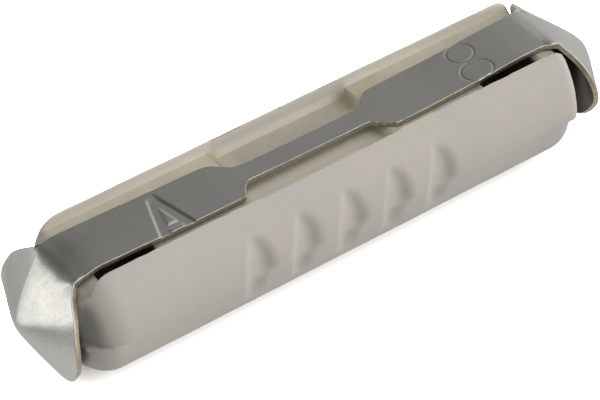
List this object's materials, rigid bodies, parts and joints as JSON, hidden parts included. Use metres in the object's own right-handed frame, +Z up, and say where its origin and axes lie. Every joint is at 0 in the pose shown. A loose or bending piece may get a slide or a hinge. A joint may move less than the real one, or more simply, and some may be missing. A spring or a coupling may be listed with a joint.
{
  "type": "torpedo cartridge fuse",
  "caption": "Torpedo-shaped cartridge fuse: moulded insulating body with an open channel, and one stamped metal strip with a narrow fusible link and conical contact caps.",
  "frame": {"origin": "on the surface the fuse lies on, under the middle of its length", "axes": "+X along the fuse from one conical cap to the other, +Z up to the strip side, +Y across to the far side in the picture"},
  "size_m": [0.025, 0.006, 0.0053],
  "materials": {
    "moulded_body": "matte ivory-white moulding, dry pressed skin with a faint parting line",
    "plated_strip": "satin plated metal, bright where it is folded"
  },
  "bodies": {
    "root": {"insulator_body": "moulded_body", "fuse_strip": "plated_strip"}
  },
  "joints": []
}
